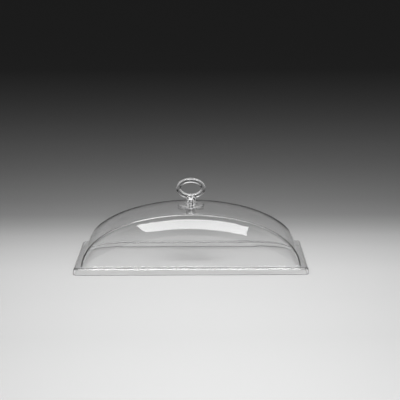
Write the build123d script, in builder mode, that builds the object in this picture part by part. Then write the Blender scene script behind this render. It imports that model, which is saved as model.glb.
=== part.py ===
from build123d import *
from math import cos, hypot, radians, sin, sqrt, tan
import os

# Clear acrylic food cover: one formed sheet with an arched crown, leaning front and back
# walls and a flanged rim that stands on the table, lifted by a clear ring handle that is
# screwed through the crown. Millimetres, +Z up, origin on the table under the crown.

# Cover
cover_width = 530.0
cover_depth = 325.0
rim_height = 15.5
rim_width = 20.5
crown_rise = 114.0
crown_swell = 4.0
sheet = 3.0
wall_lean = 3.0
crown_edge_radius = 45.0
base_corner_radius = 8.0
flare_radius = 3.0
rim_edge_radius = 5.0
rim_corner_radius = 12.0
polished_edge_radius = 0.8
least_round = 0.5
least_swell = 0.05

# Handle
ring_width = 68.0
ring_height = 48.0
ring_bar = 10.8
neck_height = 13.0
neck_foot_diameter = 27.0
neck_waist_diameter = 22.5
neck_spread = 36.0
plate_diameter = 62.0
plate_thickness = 4.0
plate_edge_radius = 1.2
plate_flare_radius = 5.0
neck_blend_radius = 2.5
neck_seat = 0.4

# Fixing through the crown
gasket_diameter = 56.0
gasket_thickness = 1.0
soft_washer_diameter = 21.0
soft_washer_thickness = 1.5
washer_diameter = 18.0
washer_thickness = 1.2
washer_edge_radius = 0.3
screw_diameter = 5.0
screw_length = 17.0
screw_head_diameter = 10.0
screw_head_height = 3.4
screw_head_round = 1.6
screw_tip_chamfer = 0.6
socket_width = 3.0
socket_depth = 2.0
insert_diameter = 8.0
insert_length = 10.5
insert_groove_width = 2.0
insert_groove_depth = 0.6
hole_clearance = 0.6
thread_clearance = 0.05
insert_clearance = 0.05
seat_clearance = 0.03
screw_tip_room = 1.5

# Levels and centres worked out from the sizes
half_span = cover_width / 2 - rim_width
half_depth = cover_depth / 2 - rim_width
crown_height = rim_height + crown_rise
plate_base = crown_height + gasket_thickness
plate_top = plate_base + plate_thickness
ring_bottom = plate_top + neck_height
ring_centre = ring_bottom + ring_height / 2
low_bar_top = ring_bottom + ring_bar
ring_half_width = (ring_width - ring_bar) / 2
ring_half_height = (ring_height - ring_bar) / 2
inner_crown = crown_height - sheet
gasket_sag = crown_rise * (1 - sqrt(1 - (gasket_diameter / 2 / half_span) ** 2))
soft_washer_base = inner_crown - soft_washer_thickness
washer_base = soft_washer_base - washer_thickness
screw_hole_radius = screw_diameter / 2 + hole_clearance
screw_tip = washer_base + screw_length
handle_bore_depth = max(insert_length, screw_tip - plate_base) + screw_tip_room
flare_round = min(flare_radius, 0.92 * (rim_width - rim_edge_radius))

# Sections of the arch fan out from a line below the table
arch_steps = 14
fan_depth = 0.6 * half_span
fan_reach = 0.8 * fan_depth

# Neck sections from the plate up: share of the way to the ring's centre line, half width, half depth
neck_reach = neck_height + ring_bar / 2
neck_waist = 0.48
neck_waist_level = plate_top + neck_waist * neck_reach
neck_sections = (
    (0.0, neck_foot_diameter / 2, neck_foot_diameter / 2),
    (neck_waist, neck_waist_diameter / 2, neck_waist_diameter / 2),
    (1.0, neck_spread / 2, ring_bar / 2 - neck_seat),
)


def inset_round(radius, inset):
    """Rounding of an outer corner on the form that lies inset behind it"""
    return max(radius - inset, least_round)


def wall_offset(level, inset):
    """Half depth between the leaning walls at a level"""
    return half_depth - (level - rim_height) * tan(radians(wall_lean)) - inset / cos(radians(wall_lean))


def arch_stations(inset):
    """Points along the arch from foot to foot: across, up, rounding of the crown edge, swell of the crown"""
    span = half_span - inset
    rise = crown_rise - inset
    foot_round = inset_round(base_corner_radius, inset)
    growth = crown_edge_radius - base_corner_radius
    stations = []
    for step in range(arch_steps + 1):
        turn = radians(180 * step / arch_steps)
        share = sin(turn)
        grown = share * (2 - share)
        swell = max(crown_swell * grown, least_swell)
        stations.append((span * cos(turn), rim_height + rise * share, foot_round + growth * grown, swell))
    for level in (rim_height / 2, -rim_height / 2):
        stations.insert(0, (span, level, foot_round, least_swell))
        stations.append((-span, level, foot_round, least_swell))
    return stations


def arch_form(inset):
    """Arched body of the cover, with every face moved in by inset"""
    with BuildPart() as arch:
        for across, up, edge_round, swell in arch_stations(inset):
            reach = hypot(across, up + fan_depth)
            outward = Vector(across, 0, up + fan_depth) / reach
            fan_plane = Plane((0, 0, -fan_depth), x_dir=outward, z_dir=outward.cross(Vector(0, 1, 0)))
            low = wall_offset(fan_reach * outward.Z - fan_depth, inset)
            high = wall_offset(up, inset)
            side = reach - swell
            with BuildSketch(fan_plane) as section:
                with BuildLine():
                    ThreePointArc((side, -high), (reach, 0), (side, high))
                    Polyline((side, high), (fan_reach, low), (fan_reach, -low), (side, -high))
                make_face()
                crown_corners = section.vertices().sort_by_distance((0, 0, -fan_depth))[-2:]
                fillet(crown_corners, edge_round)
        loft()
        split(bisect_by=Plane.XY, keep=Keep.TOP)
    return arch.part


def rim_form(inset):
    """Rim block under the arch, rounded at its corners and its upper edge"""
    corner_round = inset_round(rim_corner_radius, inset)
    with BuildPart() as rim:
        with BuildSketch():
            RectangleRounded(cover_width - 2 * inset, cover_depth - 2 * inset, corner_round)
        extrude(amount=rim_height - inset)
        fillet(rim.faces().sort_by(Axis.Z)[-1].edges(), inset_round(rim_edge_radius, inset))
    return rim.part


def cover_form(inset):
    """Whole form of the cover, its walls flaring out into the rim"""
    arch = arch_form(inset)
    rim = rim_form(inset)
    with BuildPart() as form:
        add(arch)
        add(rim)
        level = rim_height - inset
        flange = form.faces().filter_by(Plane.XY).sort_by(lambda face: abs(face.center().Z - level))[0]
        fillet(flange.inner_wires()[0].edges(), flare_round + inset)
    return form.part


os.makedirs("parts", exist_ok=True)
outer_form = cover_form(0)
inner_form = cover_form(sheet)

# Cover shell: the sheet between the outer and the inner form, open below, bored at the crown
with BuildPart() as cover_shell:
    add(outer_form)
    add(inner_form, mode=Mode.SUBTRACT)
    fillet(cover_shell.faces().sort_by(Axis.Z)[0].edges(), polished_edge_radius)
    with Locations((0, 0, crown_height)):
        Hole(screw_hole_radius, depth=2 * sheet)
cover_shell.part.label = "cover_shell"
export_step(cover_shell.part, "parts/cover_shell.step")

# Ring handle: one clear moulding of a round plate, a waisted neck and an oval finger ring
with BuildPart() as ring_handle:
    with BuildLine(Plane.XZ) as ring_line:
        EllipticalCenterArc((0, ring_centre), ring_half_width, ring_half_height, arc_size=360)
    with BuildSketch(ring_line.line ^ 0):
        Circle(ring_bar / 2)
    sweep()
    for rise, half_x, half_y in neck_sections:
        with BuildSketch(Plane.XY.offset(plate_top + rise * neck_reach)):
            Ellipse(half_x, half_y)
    loft()
    ring_seam = ring_handle.edges().filter_by(lambda edge: neck_waist_level < edge.center().Z < low_bar_top)
    fillet(ring_seam.sort_by(SortBy.LENGTH)[-1], neck_blend_radius)
    with BuildSketch(Plane.XY.offset(plate_base)):
        Circle(plate_diameter / 2)
    extrude(amount=plate_thickness)
    top_edges = ring_handle.edges().filter_by_position(Axis.Z, plate_top, plate_top).sort_by(SortBy.LENGTH)
    fillet(top_edges[0], plate_flare_radius)
    fillet(top_edges[-1], plate_edge_radius)
    with Locations((0, 0, plate_base)):
        Hole(insert_diameter / 2 + insert_clearance, depth=handle_bore_depth)
ring_handle.part.label = "ring_handle"
export_step(ring_handle.part, "parts/ring_handle.step")

# Handle gasket: clear soft disc, flat under the plate and following the crown below
with BuildPart() as handle_gasket:
    with BuildSketch(Plane.XY.offset(plate_base)):
        Circle(gasket_diameter / 2)
        Circle(screw_hole_radius, mode=Mode.SUBTRACT)
    extrude(amount=-gasket_thickness - gasket_sag - sheet)
    with Locations((0, 0, seat_clearance)):
        add(outer_form, mode=Mode.SUBTRACT)
handle_gasket.part.label = "handle_gasket"
export_step(handle_gasket.part, "parts/handle_gasket.step")

# Threaded insert: metal bush in the neck, with a groove that keys it into the moulding
with BuildPart() as threaded_insert:
    with BuildSketch(Plane.XY.offset(plate_base)):
        Circle(insert_diameter / 2)
        Circle(screw_diameter / 2 + thread_clearance, mode=Mode.SUBTRACT)
    extrude(amount=insert_length)
    with BuildSketch(Plane.XY.offset(plate_base + (insert_length - insert_groove_width) / 2)):
        Circle(insert_diameter / 2)
        Circle(insert_diameter / 2 - insert_groove_depth, mode=Mode.SUBTRACT)
    extrude(amount=insert_groove_width, mode=Mode.SUBTRACT)
threaded_insert.part.label = "threaded_insert"
export_step(threaded_insert.part, "parts/threaded_insert.step")

# Soft washer: clear ring under the crown, flat below and following the sheet above
with BuildPart() as soft_washer:
    with BuildSketch(Plane.XY.offset(soft_washer_base)):
        Circle(soft_washer_diameter / 2)
        Circle(screw_hole_radius, mode=Mode.SUBTRACT)
    extrude(amount=soft_washer_thickness + sheet)
    with Locations((0, 0, -seat_clearance)):
        add(inner_form, mode=Mode.INTERSECT)
soft_washer.part.label = "soft_washer"
export_step(soft_washer.part, "parts/soft_washer.step")

# Flat washer: steel ring that spreads the screw's pull
with BuildPart() as flat_washer:
    with BuildSketch(Plane.XY.offset(washer_base)):
        Circle(washer_diameter / 2)
        Circle(screw_hole_radius, mode=Mode.SUBTRACT)
    extrude(amount=washer_thickness)
    rim_edges = flat_washer.edges().filter_by(GeomType.CIRCLE).sort_by(SortBy.LENGTH)[-2:]
    fillet(rim_edges, washer_edge_radius)
flat_washer.part.label = "flat_washer"
export_step(flat_washer.part, "parts/flat_washer.step")

# Fixing screw: domed head with a hexagon socket, driven up from inside the cover
with BuildPart() as fixing_screw:
    with BuildSketch(Plane.XY.offset(washer_base)):
        Circle(screw_diameter / 2)
    extrude(amount=screw_length)
    chamfer(fixing_screw.edges().sort_by(Axis.Z)[-1], screw_tip_chamfer)
    with BuildSketch(Plane.XY.offset(washer_base)):
        Circle(screw_head_diameter / 2)
    extrude(amount=-screw_head_height)
    fillet(fixing_screw.edges().sort_by(Axis.Z)[0], screw_head_round)
    with BuildSketch(Plane.XY.offset(washer_base - screw_head_height)):
        RegularPolygon(socket_width / 2, 6, major_radius=False)
    extrude(amount=socket_depth, mode=Mode.SUBTRACT)
fixing_screw.part.label = "fixing_screw"
export_step(fixing_screw.part, "parts/fixing_screw.step")
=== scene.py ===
from math import cos, pi, radians, sin, tan

import bpy
import numpy as np
from mathutils import Matrix


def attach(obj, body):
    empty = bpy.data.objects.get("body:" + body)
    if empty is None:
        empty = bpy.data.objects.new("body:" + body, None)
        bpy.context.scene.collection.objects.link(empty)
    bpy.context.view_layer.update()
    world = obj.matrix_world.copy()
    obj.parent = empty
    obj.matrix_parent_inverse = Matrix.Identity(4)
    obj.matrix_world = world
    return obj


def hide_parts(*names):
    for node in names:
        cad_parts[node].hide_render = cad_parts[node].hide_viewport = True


# Clear acrylic food cover, dressed over its solids, on a pale floor in soft studio light

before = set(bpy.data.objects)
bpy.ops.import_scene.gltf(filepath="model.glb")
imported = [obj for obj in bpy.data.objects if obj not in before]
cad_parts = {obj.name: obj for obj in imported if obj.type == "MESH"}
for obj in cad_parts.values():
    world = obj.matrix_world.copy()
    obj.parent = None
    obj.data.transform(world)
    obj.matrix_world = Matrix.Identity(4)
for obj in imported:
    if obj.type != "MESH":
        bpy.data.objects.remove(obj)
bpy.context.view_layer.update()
scene = bpy.context.scene

# Sizes of the cover in millimetres: the flare and the end flanges as photographed, the rest as in the solids
COVER_WIDTH = 530.0
COVER_DEPTH = 325.0
RIM_HEIGHT = 15.5
RIM_WIDTH = 20.5
END_RIM_WIDTH = 16.5
CROWN_RISE = 114.0
CROWN_SWELL = 4.0
SHEET = 3.0
WALL_LEAN = radians(3.0)
CROWN_EDGE_RADIUS = 45.0
BASE_CORNER_RADIUS = 8.0
FLARE_RADIUS = 1.5
RIM_EDGE_RADIUS = 5.0
RIM_CORNER_RADIUS = 12.0
FOOT_EDGE_RADIUS = 0.8
LEAST_ROUND = 0.5
LEAST_SWELL = 0.05
HOLE_RADIUS = 3.1
GASKET_RADIUS = 28.0
GASKET_THICKNESS = 1.0
SOFT_WASHER_RADIUS = 10.5
SOFT_WASHER_THICKNESS = 1.5
PAD_ROUND = 0.3
PAD_BULGE = 0.25
FILM = 0.06

# Levels and half sizes worked out from them, and the line below the table from which the arch fans out
HALF_SPAN = COVER_WIDTH / 2 - END_RIM_WIDTH
HALF_DEPTH = COVER_DEPTH / 2 - RIM_WIDTH
CROWN = RIM_HEIGHT + CROWN_RISE
PLATE_BASE = CROWN + GASKET_THICKNESS
SOFT_WASHER_BASE = CROWN - SHEET - SOFT_WASHER_THICKNESS
FAN_SHARE = 0.6
FAN_DEPTH = FAN_SHARE * HALF_SPAN

# Rows of the shell's grid: the turns over one quarter, from the end past the corner to the front
CORNER_FROM = radians(24)
CORNER_TO = radians(36)
END_ROWS = 36
CORNER_ROWS = 76
FRONT_ROWS = 60

# Columns of the shell's grid, on the skirt, the rim's edge, the flange, the flare and the arch
FEATURE_COLUMNS = (8, 20, 6, 22, 120)
COLUMNS = sum(FEATURE_COLUMNS) + 1
COLUMN_LENGTH = 2.2
COLUMN_BEND = radians(3.5)
LOW_SHARE = 0.1
LOW_TRIALS = 400
HIGH_TRIALS = 300
FOOT_STEPS = 8

# Search for the shell's surface, in millimetres
SEARCH_FROM = 60.0
SEARCH_TO = 400.0
SEARCH_STEPS = 36
SLOPE_REACH = 0.01
BEND_ROUNDS = 3
TINY = 1e-9

# Grid of the soft pads
PAD_TURNS = 96
PAD_RINGS = 12
PAD_EDGE_STEPS = 6
MILLIMETRE = 0.001

# Wear and tool marks, and the heights of a painted shade along the foot, in metres and waves per metre
SMUDGE_SCALE = 22.0
SMUDGE_DETAIL = 3
SMUDGE_FROM = 0.55
SCUFF_HEIGHT = 0.0011
SCUFF = 0.3
# Painted shade: the shell's foot darkens between these heights, standing for the dark contact line where it
# meets the floor
FOOT_PAINTED_SHADE_HEIGHTS = (0.0008, 0.0016)
SCRATCH_LONG = (60.0, 3000.0, 3000.0)
SCRATCH_WIDE = (2600.0, 80.0, 2600.0)
SCRATCH_DETAIL = 2
SCRATCH_FROM = 0.72
SCRATCH_DEPTH = 3e-6
WAVE_SCALE = 18.0
WAVE_DETAIL = 1
WAVE_HEIGHT = 1.5e-5
GRAIN_SCALE = 900.0
GRAIN_DETAIL = 4
GRAIN_RANGE = (0.3, 0.7)
GRAIN_SPREAD = 0.08
TOOL_MARK_DEPTH = 1.2e-5
RING_PITCH = 0.0005
KNURL_COUNT = 40.0

# Clear plastic: how the light that it lets through falls off towards its edges
ACRYLIC_IOR = 1.49
SILICONE_IOR = 1.41
FACING_BLEND = 0.5
FACING_POWER = 5.0

# Floor: tones of its painted light and shade, by the distance behind the cover, in metres
PAINTED_FLOOR_SHADE_STOPS = (
    (-0.7, 0.395), (-0.36, 0.436), (-0.1, 0.487), (0.14, 0.502), (0.3, 0.48), (0.46, 0.406), (0.6, 0.355),
    (0.83, 0.37), (1.4, 0.465), (2.0, 0.555), (2.5, 0.56), (3.1, 0.505), (5.0, 0.28),
)
FLOOR_SPLIT = 0.45
FLOOR_REACH = 30.0

# Lamps: levels, and corners in metres on the plane that they share
LAMP_HEIGHT = 1.2
PANEL_LIGHT = 6.7
PANEL_MIRRORED = 1.7
PANEL_THROUGH = 0.08
STRIP_LIGHT = 2.0
PANEL_CORNERS = (
    (-0.5, 0.26), (-0.27, 0.08), (0.24, 0.09), (0.525, 0.03), (0.512, -0.2), (0.5, -0.6), (0.5, -1.0),
    (0.535, -1.66), (0.26, -1.72), (0.0, -1.58), (-0.3, -1.5), (-0.41, -1.3), (-0.455, -0.25),
)
FILL_CORNERS = ((-0.45, -1.7), (0.48, -1.7), (0.41, -4.3), (-0.34, -3.4))
STRIP_CORNERS = (
    (-0.78, 3.2), (-0.45, 2.3), (0.0, 1.9), (0.35, 1.42), (0.6, 1.9),
    (0.6, 1.7), (0.37, 1.2), (0.0, 1.35), (-0.45, 1.5), (-0.72, 2.6),
)

# World: levels by the degrees from straight behind, and how they change with height and towards the low sides
TABLE_LEVEL = 0.04
NEAR_STOPS = ((9.3, 0.0), (9.9, 0.15), (10.5, 0.24), (20.0, 0.25), (24.0, 0.0))
NEAR_RISE = (-0.05, 0.12, 1.3, 1.0)
HIGH_STOPS = ((19.0, 0.0), (24.0, 0.3), (30.0, 0.5), (40.0, 0.6), (60.0, 0.65), (80.0, 0.6), (90.0, 0.0))
HIGH_FADE = (0.2, 1.6)
LEAST_SIDEWAYS = 0.001
BACK_SHIFT = 0.042
BACK_STRETCH = 1.2

# Camera, in metres, with its lens and sensor in millimetres
CAMERA_PLACE = (0.0212, -3.6675, 0.777)
CAMERA_DOWN = radians(9.8)
CAMERA_ROLL = radians(-0.224)
CAMERA_LENS = 143.8
CAMERA_SENSOR = 36.0
CAMERA_SIGHT = 200.0


# Form of the shell, as fields that are negative inside

def inset_round(radius, inset):
    """Rounding of a corner on the form that lies inset behind it"""
    return max(radius - inset, LEAST_ROUND)


def rim_plan(x, y, inset):
    """Distance in plan from the rim's outline, a rectangle with rounded corners"""
    corner = inset_round(RIM_CORNER_RADIUS, inset)
    over_x = np.abs(x) - (COVER_WIDTH / 2 - inset - corner)
    over_y = np.abs(y) - (COVER_DEPTH / 2 - inset - corner)
    outside = np.hypot(np.maximum(over_x, 0), np.maximum(over_y, 0))
    return outside + np.minimum(np.maximum(over_x, over_y), 0) - corner


def rim_field(x, y, z, inset):
    """Distance from the rim block with its rounded upper edge"""
    edge = inset_round(RIM_EDGE_RADIUS, inset)
    side = rim_plan(x, y, inset)
    top = z - (RIM_HEIGHT - inset)
    bend = np.hypot(np.maximum(edge + side, 0), np.maximum(edge + top, 0))
    return np.minimum(-edge, np.maximum(side, top)) + bend


def wall_at(z, inset):
    """Half depth between the leaning walls at a level"""
    return HALF_DEPTH - (z - RIM_HEIGHT) * tan(WALL_LEAN) - inset / cos(WALL_LEAN)


def arch_reach_at(out_x, out_z, inset):
    """Length of a fan ray up to the arch"""
    span = HALF_SPAN - inset
    rise = CROWN_RISE - inset
    spring = FAN_DEPTH + RIM_HEIGHT
    square = (out_x / span) ** 2 + (out_z / rise) ** 2
    linear = -out_z * spring / rise ** 2
    rest = (spring / rise) ** 2 - 1
    on_arch = (-linear + np.sqrt(np.maximum(linear ** 2 - square * rest, 0))) / square
    on_side = span / np.maximum(np.abs(out_x), TINY)
    return np.where(on_side * out_z - FAN_DEPTH < RIM_HEIGHT, on_side, on_arch)


def squareness(across, level, out_x, out_z, inset):
    """How squarely a fan ray meets the arch, from 0 to 1"""
    normal_x = across / (HALF_SPAN - inset) ** 2
    normal_z = level / (CROWN_RISE - inset) ** 2
    return np.abs(normal_x * out_x + normal_z * out_z) / np.hypot(normal_x, normal_z)


def edge_and_swell(level, inset):
    """Rounding of the crown's edge and swell of the crown, at a level above the rim"""
    share = np.clip(level / (CROWN_RISE - inset), 0, 1)
    grown = share * (2 - share)
    edge = inset_round(BASE_CORNER_RADIUS, inset) + (CROWN_EDGE_RADIUS - BASE_CORNER_RADIUS) * grown
    return edge, np.maximum(CROWN_SWELL * grown, LEAST_SWELL)


def arch_field(x, y, z, inset):
    """Distance from the arched body with its rounded edges"""
    reach = np.maximum(np.hypot(x, z + FAN_DEPTH), TINY)
    out_x = x / reach
    out_z = (z + FAN_DEPTH) / reach
    arch_reach = arch_reach_at(out_x, out_z, inset)
    level = np.maximum(arch_reach * out_z - FAN_DEPTH - RIM_HEIGHT, 0)
    square_on = squareness(arch_reach * out_x, level, out_x, out_z, inset)
    edge, swell = edge_and_swell(level, inset)
    lean = np.arctan(out_z * tan(WALL_LEAN))
    high = wall_at(level + RIM_HEIGHT, inset)
    over_arch = (reach - arch_reach + swell * (y / high) ** 2) * square_on
    over_wall = (np.abs(y) - wall_at(z, inset)) * np.cos(lean)
    middle = arch_reach - swell - edge
    for _ in range(BEND_ROUNDS):
        middle_y = wall_at(middle * out_z - FAN_DEPTH, inset) - edge / np.cos(lean)
        slope = np.arctan(2 * swell * middle_y / high ** 2)
        middle = arch_reach - swell * (middle_y / high) ** 2 - edge / np.cos(slope)
    past = reach - middle
    aside = np.abs(y) - middle_y
    away = np.maximum(np.hypot(past, aside), TINY)
    weight = (past ** 2 * square_on + aside ** 2) / away ** 2
    above_wall = past * np.cos(lean) > aside * np.sin(lean)
    beside_crown = aside * np.cos(slope) > past * np.sin(slope)
    in_bend = above_wall & beside_crown
    return np.where(in_bend, (away - edge) * weight, np.maximum(over_arch, over_wall))


def cover_field(x, y, z, inset):
    """Distance from the whole form, its walls flaring out into the rim"""
    arch = arch_field(x, y, z, inset)
    rim = rim_field(x, y, z, inset)
    flare = FLARE_RADIUS + inset
    hollow = np.hypot(np.maximum(flare - arch, 0), np.maximum(flare - rim, 0))
    return np.maximum(flare, np.minimum(arch, rim)) - hollow


def field_normals(points, inset):
    """Outward directions of the form's surface"""
    slopes = []
    for step in np.eye(3) * SLOPE_REACH:
        high = cover_field(*np.moveaxis(points + step, -1, 0), inset)
        low = cover_field(*np.moveaxis(points - step, -1, 0), inset)
        slopes.append(high - low)
    normals = np.stack(slopes, -1)
    return normals / np.linalg.norm(normals, axis=-1, keepdims=True)


# Grid points on the form, found along rays from the middle of the table

def leave_reach(inside, shape):
    """Reach at which rays leave a form, by halving the way between a point inside and one outside"""
    near = np.full(shape, SEARCH_FROM)
    far = np.full(shape, SEARCH_TO)
    for _ in range(SEARCH_STEPS):
        middle = (near + far) / 2
        within = inside(middle)
        near = np.where(within, middle, near)
        far = np.where(within, far, middle)
    return (near + far) / 2


def leave_points(turn, tilt, inset):
    """Points where rays from the origin leave the cover's form"""
    ray = np.stack([np.cos(tilt) * np.cos(turn), np.cos(tilt) * np.sin(turn), np.sin(tilt)], -1)

    def inside(reach):
        return cover_field(*np.moveaxis(ray * reach[..., None], -1, 0), inset) < 0

    return ray * leave_reach(inside, tilt.shape)[..., None]


def rim_distance(turn, inset):
    """Distance in plan from the origin to the rim's outline"""
    def inside(reach):
        return rim_plan(reach * np.cos(turn), reach * np.sin(turn), inset) < 0

    return leave_reach(inside, turn.shape)


def quarter_turns():
    """Directions in plan over one quarter, closer together at the corner"""
    end = np.linspace(0, CORNER_FROM, END_ROWS, endpoint=False)
    corner = np.linspace(CORNER_FROM, CORNER_TO, CORNER_ROWS, endpoint=False)
    front = np.linspace(CORNER_TO, pi / 2, FRONT_ROWS + 1)
    return np.concatenate([end, corner, front])


def travel_along(points, inset):
    """Way along each row of points, longer where the form bends"""
    length = np.linalg.norm(np.diff(points, axis=1), axis=2)
    facing = field_normals(points, inset)
    bend = np.arccos(np.clip((facing[:, 1:] * facing[:, :-1]).sum(2), -1, 1))
    travel = np.zeros(points.shape[:2])
    travel[:, 1:] = np.cumsum(length / COLUMN_LENGTH + bend / COLUMN_BEND, 1)
    return travel


def crossing(values, travel):
    """Travel at which each row's values rise above zero"""
    rows = np.arange(len(values))
    after = np.argmax(values > 0, 1)
    before = after - 1
    part = values[rows, before] / (values[rows, before] - values[rows, after])
    return travel[rows, before] + part * (travel[rows, after] - travel[rows, before])


def feature_ends(points, travel, inset):
    """Travel at which each row leaves the skirt, the rim's edge, the flange and the flare"""
    x, y, z = np.moveaxis(points, -1, 0)
    edge = inset_round(RIM_EDGE_RADIUS, inset)
    flare = FLARE_RADIUS + inset
    leaves = (
        z - (RIM_HEIGHT - inset - edge),
        -edge - rim_plan(x, y, inset),
        flare - arch_field(x, y, z, inset),
        rim_field(x, y, z, inset) - flare,
    )
    return [crossing(values, travel) for values in leaves]


def quarter_grid(inset):
    """Points on one quarter of the form: a row for each direction, from the table to the crown"""
    turns = quarter_turns()[:, None]
    first = np.arctan2(FOOT_EDGE_RADIUS, rim_distance(turns, inset))
    last = np.arctan2(CROWN - inset, HOLE_RADIUS)
    low = np.linspace(0, LOW_SHARE, LOW_TRIALS, endpoint=False)
    high = np.linspace(LOW_SHARE, 1, HIGH_TRIALS)
    trial = first + (last - first) * np.concatenate([low, high])
    points = leave_points(turns, trial, inset)
    travel = travel_along(points, inset)
    ends = [travel[:, 0], *feature_ends(points, travel, inset), travel[:, -1]]
    spots = []
    for start, end, count in zip(ends, ends[1:], FEATURE_COLUMNS):
        steps = np.arange(count) / count
        spots.append(start[:, None] + (end - start)[:, None] * steps)
    spots.append(travel[:, -1:])
    spots = np.concatenate(spots, 1)
    tilts = np.stack([np.interp(spot, way, tilt) for spot, way, tilt in zip(spots, travel, trial)])
    return leave_points(turns, tilts, inset)


def mirror_quarter(quarter):
    """All round from one quarter, by mirroring it twice"""
    half = np.concatenate([quarter, quarter[-2::-1] * (-1, 1, 1)])
    return np.concatenate([half, half[-2:0:-1] * (1, -1, 1)])


def foot_columns():
    """Polished lower edge of the skirt, from the inner to the outer face"""
    turns = quarter_turns()
    columns = []
    for step in range(1, FOOT_STEPS):
        angle = pi * step / FOOT_STEPS
        shift = FOOT_EDGE_RADIUS * (1 - abs(cos(angle)))
        outer_side = step > FOOT_STEPS / 2
        inset = shift if outer_side else SHEET - shift
        distance = rim_distance(turns, inset)
        level = np.full_like(turns, FOOT_EDGE_RADIUS * (1 - sin(angle)))
        columns.append(np.stack([distance * np.cos(turns), distance * np.sin(turns), level], -1))
    return mirror_quarter(np.stack(columns, 1))


# Pieces that take the place of solids

def grid_mesh(name, grid, material, flipped=False):
    """Smooth mesh of a grid that closes on itself both ways"""
    rows, columns = grid.shape[:2]
    here = np.arange(rows * columns).reshape(rows, columns)
    beside = np.roll(here, -1, 0)
    after = np.roll(here, -1, 1)
    after_beside = np.roll(beside, -1, 1)
    corners = (here, after, after_beside, beside) if flipped else (here, beside, after_beside, after)
    quads = np.stack(corners, -1).reshape(-1, 4)
    mesh = bpy.data.meshes.new(name)
    mesh.from_pydata((grid.reshape(-1, 3) * MILLIMETRE).tolist(), [], quads.tolist())
    mesh.polygons.foreach_set("use_smooth", np.ones(len(quads), bool))
    mesh.update()
    mesh.materials.append(material)
    return mesh


def place_piece(name, mesh, node):
    """Piece on the cover's one body, in place of a solid"""
    piece = bpy.data.objects.new(name, mesh)
    scene.collection.objects.link(piece)
    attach(piece, "root")
    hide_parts(node)
    return piece


def shell_piece(material):
    """The formed sheet: inner face, lower edge and outer face as one closed grid"""
    outer = mirror_quarter(quarter_grid(0.0))
    inner = mirror_quarter(quarter_grid(SHEET))
    grid = np.concatenate([inner[:, ::-1], foot_columns(), outer], 1)
    mesh = grid_mesh("clear_shell", grid, material)
    plain = np.empty(grid.size)
    mesh.vertices.foreach_get("normal", plain)
    normals = plain.reshape(grid.shape)
    normals[:, 1:COLUMNS] = -field_normals(inner, SHEET)[:, -2::-1]
    normals[:, -COLUMNS:-1] = field_normals(outer, 0.0)[:, :-1]
    mesh.normals_split_custom_set_from_vertices(normals.reshape(-1, 3).tolist())
    return place_piece("clear_shell", mesh, "cover_shell")


def crown_level(x, y, inset):
    """Level of the crown's outer or inner face near the handle"""
    arch = RIM_HEIGHT + (CROWN_RISE - inset) * np.sqrt(1 - (x / (HALF_SPAN - inset)) ** 2)
    return arch - CROWN_SWELL * (y / wall_at(CROWN - inset, inset)) ** 2


def gasket_faces(x, y):
    """Lower and upper face of the gasket, a film of air away from the crown and the handle's plate"""
    return crown_level(x, y, 0) + FILM, np.full_like(x, PLATE_BASE - FILM)


def soft_washer_faces(x, y):
    """Lower and upper face of the soft washer, a film of air away from the steel washer and the crown"""
    return np.full_like(x, SOFT_WASHER_BASE + FILM), crown_level(x, y, SHEET) - FILM


def pad_piece(name, node, radius, faces, material):
    """Round soft pad with a hole and bulging edges, between two faces that are given over x and y"""
    turns = np.linspace(0, 2 * pi, PAD_TURNS, endpoint=False)[:, None]
    rise = np.linspace(0, 1, PAD_EDGE_STEPS + 1)[None, 1:-1]
    bulge = PAD_BULGE * np.sin(pi * rise)
    inner = HOLE_RADIUS + PAD_ROUND
    outer = radius - PAD_ROUND
    across = np.linspace(inner, outer, PAD_RINGS)[None]
    sides = ((across, 0.0), (outer + bulge, rise), (across[:, ::-1], 1.0), (inner - bulge, 1 - rise))
    rings = []
    for reach, share in sides:
        x = reach * np.cos(turns)
        y = reach * np.sin(turns)
        low, high = faces(x, y)
        rings.append(np.stack([x, y, low + (high - low) * share], -1))
    mesh = grid_mesh(name, np.concatenate(rings, 1), material, flipped=True)
    return place_piece(name, mesh, node)


# Helpers for node trees

def new_material(name):
    """Empty node material, with its tree and its output node"""
    material = bpy.data.materials.new(name)
    material.use_nodes = True
    tree = material.node_tree
    tree.nodes.clear()
    output = tree.nodes.new("ShaderNodeOutputMaterial")
    return material, tree, output


def add_node(tree, kind, inputs, **settings):
    """New node, whose inputs are values or the sockets that feed them"""
    node = tree.nodes.new("ShaderNode" + kind)
    for key, value in settings.items():
        setattr(node, key, value)
    for key, value in inputs.items():
        if isinstance(value, bpy.types.NodeSocket):
            tree.links.new(value, node.inputs[key])
        else:
            node.inputs[key].default_value = value
    return node


def calculate(tree, operation, first, second=0.0):
    """Result of a sum with two values or sockets"""
    return add_node(tree, "Math", {0: first, 1: second}, operation=operation).outputs[0]


def ranged(tree, value, low, high, to_low, to_high):
    """Value carried from one range to another"""
    limits = {"From Min": low, "From Max": high, "To Min": to_low, "To Max": to_high}
    return add_node(tree, "MapRange", {"Value": value, **limits}).outputs[0]


def graded(tree, value, stops):
    """Grey tone that runs through the stops, each of them a value and its tone"""
    first = stops[0][0]
    last = stops[-1][0]
    ramp = add_node(tree, "ValToRGB", {0: ranged(tree, value, first, last, 0.0, 1.0)})
    for _ in stops[2:]:
        ramp.color_ramp.elements.new(1.0)
    for element, (place, tone) in zip(ramp.color_ramp.elements, stops):
        element.position = (place - first) / (last - first)
        element.color = (tone, tone, tone, 1)
    return ramp.outputs[0]


def noise(tree, place, scale, detail):
    """Soft random pattern, its scale in waves per metre"""
    return add_node(tree, "TexNoise", {"Vector": place, "Scale": scale, "Detail": detail}).outputs[0]


def bumped(tree, relief):
    """Surface direction under a relief in metres"""
    return add_node(tree, "Bump", {"Height": relief, "Distance": 1.0, "Strength": 1.0}).outputs[0]


# Clear plastic

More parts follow.
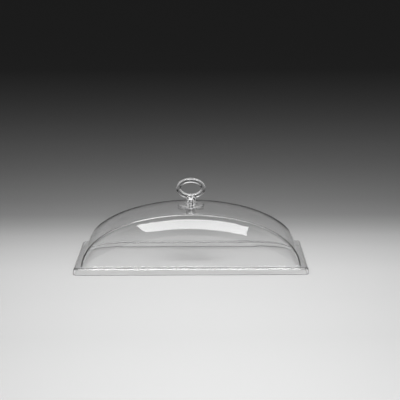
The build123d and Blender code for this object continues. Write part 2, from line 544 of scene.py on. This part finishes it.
def hairlines(tree, place, stretch):
    """Fine scratches that run along the short side of the stretch"""
    drawn = add_node(tree, "Mapping", {"Vector": place, "Scale": stretch}).outputs[0]
    return ranged(tree, noise(tree, drawn, 1.0, SCRATCH_DETAIL), SCRATCH_FROM, 1.0, 0.0, 1.0)


def worn_relief(tree, place):
    """Slow waves of the formed sheet, with hairline scratches both ways"""
    along = hairlines(tree, place, SCRATCH_LONG)
    across = hairlines(tree, place, SCRATCH_WIDE)
    scratches = calculate(tree, "MULTIPLY", calculate(tree, "ADD", along, across), SCRATCH_DEPTH)
    waves = calculate(tree, "MULTIPLY", noise(tree, place, WAVE_SCALE, WAVE_DETAIL), WAVE_HEIGHT)
    return calculate(tree, "SUBTRACT", waves, scratches)


def worn_roughness(tree, place, height, polish, smudge):
    """Polished, with soft smudges and a scuffed foot"""
    patches = noise(tree, place, SMUDGE_SCALE, SMUDGE_DETAIL)
    dull = ranged(tree, patches, SMUDGE_FROM, 1.0, polish, smudge)
    scuff = ranged(tree, height, SCUFF_HEIGHT, 0.0, 0.0, SCUFF)
    return calculate(tree, "MAXIMUM", dull, scuff)


def clear_material(name, ior, tint, polish, smudge, passing, gloss=1.0, foot_painted_shade=1.0):
    """Clear worn plastic, which lets the light of lamps pass through it, with a painted shade along its foot
    if asked for
    """
    material, tree, output = new_material(name)
    place = add_node(tree, "TexCoord", {}).outputs["Object"]
    height = add_node(tree, "SeparateXYZ", {0: place}).outputs["Z"]
    body = {
        "Base Color": (tint, tint, tint, 1),
        "Transmission Weight": 1.0,
        "IOR": ior,
        "Specular Tint": (gloss, gloss, gloss, 1),
        "Roughness": worn_roughness(tree, place, height, polish, smudge),
        "Normal": bumped(tree, worn_relief(tree, place)),
    }
    # Painted shade: the base colour darkens towards the foot, standing for the contact shadow on the floor
    if foot_painted_shade < 1.0:
        shade = ranged(tree, height, *FOOT_PAINTED_SHADE_HEIGHTS, foot_painted_shade, 1.0)
        body["Base Color"] = add_node(tree, "CombineColor", {0: shade, 1: shade, 2: shade}).outputs[0]
    glass = add_node(tree, "BsdfPrincipled", body)
    facing = add_node(tree, "LayerWeight", {"Blend": FACING_BLEND}).outputs["Facing"]
    passed = ranged(tree, calculate(tree, "POWER", facing, FACING_POWER), 0.0, 1.0, passing, 0.0)
    open_way = add_node(tree, "BsdfTransparent", {"Color": passed})
    path = add_node(tree, "LightPath", {}).outputs
    for_light = calculate(tree, "MAXIMUM", path["Is Shadow Ray"], path["Is Diffuse Ray"])
    mix = add_node(tree, "MixShader", {0: for_light, 1: glass.outputs[0], 2: open_way.outputs[0]})
    tree.links.new(mix.outputs[0], output.inputs[0])
    return material


# Metals

def turned_rings(tree, place):
    """Rings left by turning, round the screw's axis"""
    flat = add_node(tree, "VectorMath", {0: place, 1: (1, 1, 0)}, operation="MULTIPLY").outputs[0]
    radius = add_node(tree, "VectorMath", {0: flat}, operation="LENGTH").outputs["Value"]
    return calculate(tree, "SINE", calculate(tree, "MULTIPLY", radius, 2 * pi / RING_PITCH))


def knurl(tree, place):
    """Straight knurling round the insert"""
    parts = add_node(tree, "SeparateXYZ", {0: place}).outputs
    turn = calculate(tree, "ARCTAN2", parts["Y"], parts["X"])
    return calculate(tree, "SINE", calculate(tree, "MULTIPLY", turn, KNURL_COUNT))


def metal_material(name, colour, roughness, pattern):
    """Worked metal, its tool marks given by a pattern over the place"""
    material, tree, output = new_material(name)
    place = add_node(tree, "TexCoord", {}).outputs["Object"]
    grain = noise(tree, place, GRAIN_SCALE, GRAIN_DETAIL)
    relief = calculate(tree, "MULTIPLY", pattern(tree, place), TOOL_MARK_DEPTH)
    body = {
        "Base Color": (*colour, 1),
        "Metallic": 1.0,
        "Roughness": ranged(tree, grain, *GRAIN_RANGE, roughness - GRAIN_SPREAD, roughness + GRAIN_SPREAD),
        "Normal": bumped(tree, relief),
    }
    metal = add_node(tree, "BsdfPrincipled", body)
    tree.links.new(metal.outputs[0], output.inputs[0])
    return material


# Dressed part: materials on the solids that stay, and pieces in place of the others
# The acrylic carries a painted shade along its foot
acrylic = clear_material(
    "clear_acrylic", ior=ACRYLIC_IOR, tint=1.0, polish=0.0, smudge=0.08, passing=0.93, foot_painted_shade=0.45)
moulded = clear_material(
    "clear_handle", ior=ACRYLIC_IOR, tint=1.0, polish=0.06, smudge=0.12, passing=0.4, gloss=0.45)
silicone = clear_material(
    "clear_silicone", ior=SILICONE_IOR, tint=0.97, polish=0.04, smudge=0.15, passing=0.9)
bright_metal = metal_material("insert_metal", colour=(0.78, 0.78, 0.79), roughness=0.2, pattern=knurl)
steel = metal_material("stainless_steel", colour=(0.72, 0.72, 0.73), roughness=0.3, pattern=turned_rings)
node_materials = {
    "ring_handle": moulded,
    "threaded_insert": bright_metal,
    "flat_washer": steel,
    "fixing_screw": steel,
}
for node, material in node_materials.items():
    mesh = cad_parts[node].data
    mesh.materials.clear()
    mesh.materials.append(material)
shell_piece(acrylic)
pad_piece("gasket_pad", "handle_gasket", GASKET_RADIUS, gasket_faces, silicone)
pad_piece("washer_pad", "soft_washer", SOFT_WASHER_RADIUS, soft_washer_faces, silicone)


# Stage: floor and lamps

def flat_piece(name, corners, material):
    """Flat stage piece through the corners, in metres"""
    mesh = bpy.data.meshes.new(name)
    mesh.from_pydata(corners, [], [list(range(len(corners)))])
    mesh.materials.append(material)
    piece = bpy.data.objects.new(name, mesh)
    scene.collection.objects.link(piece)
    return piece


def floor_with_painted_shade():
    """Pale paint with painted light and shade, whose tone changes from front to back"""
    material, tree, output = new_material("painted_shade_floor")
    place = add_node(tree, "NewGeometry", {}).outputs["Position"]
    distance = add_node(tree, "SeparateXYZ", {0: place}).outputs["Y"]
    # Painted light and shade: the paint's tone follows the stops over the distance back, standing for the
    # light that the lamps cast over the floor
    paint = add_node(tree, "BsdfDiffuse", {"Color": graded(tree, distance, PAINTED_FLOOR_SHADE_STOPS)})
    tree.links.new(paint.outputs[0], output.inputs[0])
    return material


def floor_piece(name, near, far, material):
    """Floor between two distances, wide to both sides"""
    corners = [(-FLOOR_REACH, near, 0), (FLOOR_REACH, near, 0), (FLOOR_REACH, far, 0), (-FLOOR_REACH, far, 0)]
    return flat_piece(name, corners, material)


def glow_material(name, level, mirrored, through):
    """Glow that has its own level in mirror images and another in views through the clear plastic"""
    material, tree, output = new_material(name)
    path = add_node(tree, "LightPath", {}).outputs
    in_mirror = ranged(tree, path["Is Glossy Ray"], 0.0, 1.0, level, level * mirrored)
    seen = ranged(tree, path["Is Transmission Ray"], 0.0, 1.0, in_mirror, level * through)
    glow = add_node(tree, "Emission", {"Strength": seen})
    tree.links.new(glow.outputs[0], output.inputs[0])
    return material


def lamp(name, corners, level, mirrored=1.0, through=1.0):
    """Flat glowing lamp over the table, out of the camera's sight"""
    glow = glow_material(name + "_glow", level, mirrored, through)
    piece = flat_piece(name, [(x, y, LAMP_HEIGHT) for x, y in corners], glow)
    piece.visible_camera = False
    return piece


painted_shade_floor = floor_with_painted_shade()
floor_piece("floor", -FLOOR_REACH, FLOOR_SPLIT, painted_shade_floor)
far_floor = floor_piece("far_floor", FLOOR_SPLIT, FLOOR_REACH, painted_shade_floor)
far_floor.visible_glossy = False
lamp("panel", PANEL_CORNERS, PANEL_LIGHT, PANEL_MIRRORED, PANEL_THROUGH)
fill = lamp("fill", FILL_CORNERS, PANEL_LIGHT)
fill.visible_glossy = False
fill.visible_transmission = False
strip = lamp("strip", STRIP_CORNERS, STRIP_LIGHT)
strip.visible_diffuse = False


# World

def glow_world():
    """World that is dim for the table, with a soft gradient for what the clear plastic mirrors"""
    world = bpy.data.worlds.new("world")
    world.use_nodes = True
    tree = world.node_tree
    outward = add_node(tree, "TexCoord", {}).outputs["Generated"]
    parts = add_node(tree, "SeparateXYZ", {0: outward}).outputs
    stretch = (1.0, 0.0, BACK_STRETCH)
    shift = (0.0, 0.0, BACK_STRETCH * BACK_SHIFT)
    shifted = add_node(tree, "VectorMath", {0: outward, 1: stretch, 2: shift}, operation="MULTIPLY_ADD")
    aside = add_node(tree, "VectorMath", {0: shifted.outputs[0]}, operation="LENGTH").outputs["Value"]
    from_behind = calculate(tree, "DEGREES", calculate(tree, "ARCTAN2", aside, parts["Y"]))
    lowness = ranged(tree, parts["Z"], *NEAR_RISE)
    near_glow = calculate(tree, "MULTIPLY", graded(tree, from_behind, NEAR_STOPS), lowness)
    sideways = calculate(tree, "ADD", calculate(tree, "ABSOLUTE", parts["X"]), LEAST_SIDEWAYS)
    steepness = ranged(tree, calculate(tree, "DIVIDE", parts["Z"], sideways), *HIGH_FADE, 0.0, 1.0)
    high_glow = calculate(tree, "MULTIPLY", graded(tree, from_behind, HIGH_STOPS), steepness)
    glow = calculate(tree, "ADD", near_glow, high_glow)
    for_table = add_node(tree, "LightPath", {}).outputs["Is Diffuse Ray"]
    level = ranged(tree, for_table, 0.0, 1.0, glow, TABLE_LEVEL)
    tree.links.new(level, tree.nodes["Background"].inputs["Color"])
    world.cycles.sampling_method = "NONE"
    return world


scene.world = glow_world()

# Camera at the photo's angle
camera_data = bpy.data.cameras.new("camera")
camera_data.lens = CAMERA_LENS
camera_data.sensor_width = CAMERA_SENSOR
camera_data.clip_end = CAMERA_SIGHT
camera = bpy.data.objects.new("camera", camera_data)
stand = Matrix.Translation(CAMERA_PLACE)
pitch = Matrix.Rotation(pi / 2 - CAMERA_DOWN, 4, "X")
roll = Matrix.Rotation(CAMERA_ROLL, 4, "Z")
camera.matrix_world = stand @ pitch @ roll
scene.collection.objects.link(camera)
scene.camera = camera

# Plain view of colours, and enough bounces for light in the clear plastic
scene.view_settings.view_transform = "Standard"
scene.cycles.max_bounces = 64
scene.cycles.transmission_bounces = 48
scene.cycles.glossy_bounces = 32
scene.cycles.transparent_max_bounces = 32
